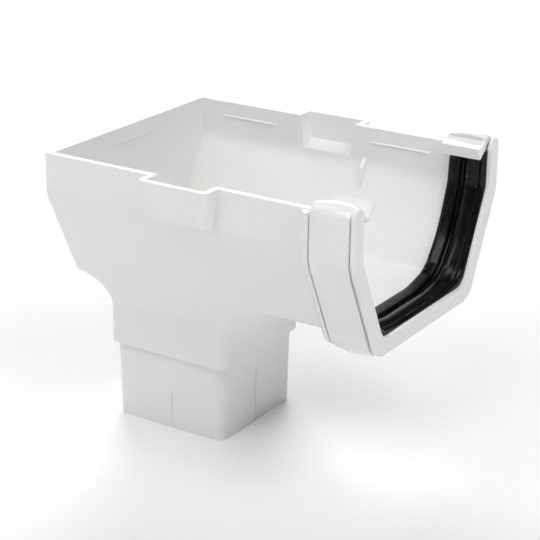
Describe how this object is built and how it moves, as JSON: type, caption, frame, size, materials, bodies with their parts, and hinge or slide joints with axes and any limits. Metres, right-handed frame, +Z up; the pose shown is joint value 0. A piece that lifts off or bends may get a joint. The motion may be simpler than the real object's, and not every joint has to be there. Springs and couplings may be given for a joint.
{
  "type": "gutter end outlet",
  "caption": "White square-line gutter stop end outlet: a closed trough with a square drop and spigot below, and a sealed socket held by a clip-on strap.",
  "frame": {"origin": "centre of the spigot's lower end, where the downpipe goes on", "axes": "+X along the gutter, from the stop end towards the socket; +Y across the gutter; +Z up"},
  "size_m": [0.1609, 0.1386, 0.1408],
  "materials": {
    "outlet_body": "white PVC-U, glossy",
    "socket_seal": "black, half glossy",
    "retaining_strap": "white PVC-U, glossy"
  },
  "bodies": {
    "root": {"outlet_body": "outlet_body", "socket_seal": "socket_seal", "retaining_strap": "retaining_strap"}
  },
  "joints": []
}
